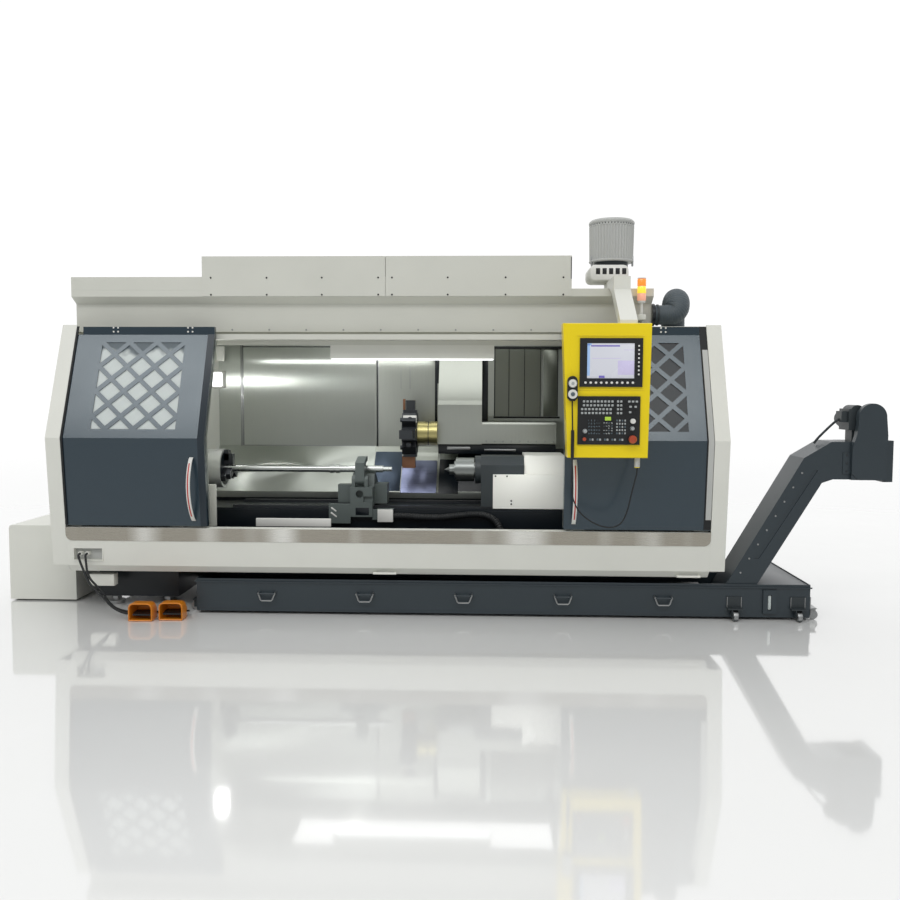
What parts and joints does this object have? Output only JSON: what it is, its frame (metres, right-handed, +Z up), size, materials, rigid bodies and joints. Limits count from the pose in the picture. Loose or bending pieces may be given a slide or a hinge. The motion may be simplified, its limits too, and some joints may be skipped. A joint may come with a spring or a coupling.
{
  "type": "cnc turning lathe",
  "caption": "Slant-bed turning lathe in a white cabinet with open sliding doors, turret, tailstock, steady rest, operator panel, coolant tank and chip conveyor.",
  "frame": {"origin": "middle of the footprint of the whole machine, on the floor", "axes": "+X to the right along the spindle, from headstock to tailstock; +Y from the operator to the rear; +Z up"},
  "size_m": [5.79, 2.002, 2.617],
  "materials": {
    "cast_iron": "painted casting",
    "zinc_steel": "zinc plated",
    "ground_steel": "ground",
    "white_paint": "satin powder coat",
    "stainless": "brushed sheet",
    "lamp": "frosted",
    "slate_paint": "satin powder coat",
    "grey_paint": "satin paint",
    "dark_hose": "matt",
    "beacon_lens": "clear lens",
    "orange_paint": "hammered paint",
    "black_plastic": "fine texture",
    "pane": "polycarbonate",
    "chrome": "polished",
    "gold_paint": "machined",
    "dark_steel": "machined and painted",
    "yellow_paint": "satin powder coat",
    "red_plastic": "gloss",
    "white_plastic": "fine texture"
  },
  "bodies": {
    "machine": {"bed_casting": "cast_iron", "levelling_feet": "zinc_steel", "guide_rails": "ground_steel", "headstock": "white_paint", "left_end_panel": "white_paint", "right_end_panel": "white_paint", "front_sill": "white_paint", "sill_plate": "stainless", "rear_panel": "white_paint", "header": "white_paint", "back_guard": "stainless", "chip_trough": "slate_paint", "work_lamps": "lamp", "motor_cover": "white_paint", "coolant_tank": "slate_paint", "sight_glass": "black_plastic", "tank_casters": "zinc_steel", "conveyor_trunk": "slate_paint", "conveyor_head": "slate_paint", "conveyor_motor": "grey_paint", "mist_collector": "grey_paint", "beacon": "beacon_lens", "exhaust_duct": "dark_hose", "pedal_guards": "orange_paint", "left_pedal_cord": "dark_hose", "right_pedal_cord": "dark_hose", "steady_rest": "dark_steel", "steady_hose": "dark_hose", "pendant_arm": "white_paint"},
    "left_door": {"left_door": "slate_paint", "left_pane": "pane", "left_door_handle": "chrome"},
    "right_door": {"right_door": "slate_paint", "right_pane": "pane", "right_door_handle": "chrome"},
    "left_leaf": {"left_inner_leaf": "stainless"},
    "right_leaf": {"right_inner_leaf": "stainless"},
    "spindle": {"chuck": "ground_steel", "workpiece": "ground_steel"},
    "carriage": {"carriage_cover": "stainless"},
    "cross_slide": {"turret_body": "gold_paint"},
    "turret": {"turret_disc": "dark_steel"},
    "way_cover_left": {"way_cover_left": "stainless"},
    "way_cover_right_1": {"way_cover_right_1": "stainless"},
    "way_cover_right_2": {"way_cover_right_2": "stainless"},
    "way_cover_right_3": {"way_cover_right_3": "stainless"},
    "tailstock": {"tailstock": "dark_steel", "tailstock_covers": "white_paint"},
    "quill": {"quill": "ground_steel"},
    "steady_arm": {"steady_arm": "dark_steel"},
    "operator_panel": {"panel_housing": "yellow_paint", "screen_unit": "black_plastic", "keypad": "black_plastic", "pulse_pendant": "black_plastic", "pulse_cord": "dark_hose"},
    "estop": {"estop_button": "red_plastic"},
    "feed_knob": {"feed_knob": "white_plastic"},
    "pulse_dial": {"pulse_dial": "white_plastic"},
    "left_pedal": {"left_pedal": "black_plastic"},
    "right_pedal": {"right_pedal": "black_plastic"}
  },
  "joints": [
    {"name": "left_door_slide", "type": "slide", "parent": "machine", "child": "left_door", "axis": [1, 0, 0], "range_m": [0, 1.132]},
    {"name": "left_leaf_slide", "type": "slide", "parent": "machine", "child": "left_leaf", "axis": [1, 0, 0], "range_m": [0, 0.566]},
    {"name": "right_door_slide", "type": "slide", "parent": "machine", "child": "right_door", "axis": [-1, 0, 0], "range_m": [0, 1.132]},
    {"name": "right_leaf_slide", "type": "slide", "parent": "machine", "child": "right_leaf", "axis": [-1, 0, 0], "range_m": [0, 0.566]},
    {"name": "spindle_spin", "type": "hinge", "parent": "machine", "child": "spindle", "pos_m": [-1.63, -0.139, 0.902], "axis": [1, 0, 0], "continuous": true},
    {"name": "carriage_slide", "type": "slide", "parent": "machine", "child": "carriage", "axis": [-1, 0, 0], "range_m": [-0.1, 0.7]},
    {"name": "way_cover_left_slide", "type": "slide", "parent": "machine", "child": "way_cover_left", "axis": [-1, 0, 0], "range_m": [-0.022, 0.154]},
    {"name": "way_cover_right_1_slide", "type": "slide", "parent": "machine", "child": "way_cover_right_1", "axis": [-1, 0, 0], "range_m": [-0.025, 0.175]},
    {"name": "way_cover_right_2_slide", "type": "slide", "parent": "machine", "child": "way_cover_right_2", "axis": [-1, 0, 0], "range_m": [-0.05, 0.35]},
    {"name": "way_cover_right_3_slide", "type": "slide", "parent": "machine", "child": "way_cover_right_3", "axis": [-1, 0, 0], "range_m": [-0.075, 0.525]},
    {"name": "cross_slide", "type": "slide", "parent": "carriage", "child": "cross_slide", "axis": [0, 0.7071, 0.7071], "range_m": [-0.085, 0.15]},
    {"name": "turret_index", "type": "hinge", "parent": "cross_slide", "child": "turret", "pos_m": [-0.234, 0.091, 1.141], "axis": [1, 0, 0], "continuous": true},
    {"name": "tailstock_slide", "type": "slide", "parent": "machine", "child": "tailstock", "axis": [-1, 0, 0], "range_m": [0, 0.2]},
    {"name": "quill_slide", "type": "slide", "parent": "tailstock", "child": "quill", "axis": [-1, 0, 0], "range_m": [0, 0.1]},
    {"name": "steady_arm_swing", "type": "hinge", "parent": "machine", "child": "steady_arm", "pos_m": [-0.495, -0.259, 0.838], "axis": [1, 0, 0], "range_deg": [0, 45]},
    {"name": "panel_swing", "type": "hinge", "parent": "machine", "child": "operator_panel", "pos_m": [1.215, -0.864, 1.848], "axis": [0, 0, 1], "range_deg": [-6, 30]},
    {"name": "estop_press", "type": "slide", "parent": "operator_panel", "child": "estop", "axis": [0, 1, 0], "range_m": [0, 0.006], "stiffness_N_per_m": 2000, "springref_m": -0.005},
    {"name": "feed_knob_turn", "type": "hinge", "parent": "operator_panel", "child": "feed_knob", "pos_m": [1.227, -0.954, 1.269], "axis": [0, 1, 0], "range_deg": [-120, 120]},
    {"name": "pulse_dial_turn", "type": "hinge", "parent": "operator_panel", "child": "pulse_dial", "pos_m": [0.868, -0.979, 1.428], "axis": [0, 1, 0], "continuous": true},
    {"name": "left_pedal_press", "type": "hinge", "parent": "machine", "child": "left_pedal", "pos_m": [-1.789, -0.769, 0.04], "axis": [1, 0, 0], "range_deg": [0, 8], "stiffness_Nm_per_rad": 12, "springref_deg": -22.92},
    {"name": "right_pedal_press", "type": "hinge", "parent": "machine", "child": "right_pedal", "pos_m": [-1.607, -0.739, 0.04], "axis": [1, 0, 0], "range_deg": [0, 8], "stiffness_Nm_per_rad": 12, "springref_deg": -22.92}
  ],
  "couplings": [
    {"joint": "left_leaf_slide", "follows": "left_door_slide", "ratio": 0.5},
    {"joint": "right_leaf_slide", "follows": "right_door_slide", "ratio": 0.5},
    {"joint": "way_cover_left_slide", "follows": "carriage_slide", "ratio": 0.22},
    {"joint": "way_cover_right_1_slide", "follows": "carriage_slide", "ratio": 0.25},
    {"joint": "way_cover_right_2_slide", "follows": "carriage_slide", "ratio": 0.5},
    {"joint": "way_cover_right_3_slide", "follows": "carriage_slide", "ratio": 0.75}
  ]
}
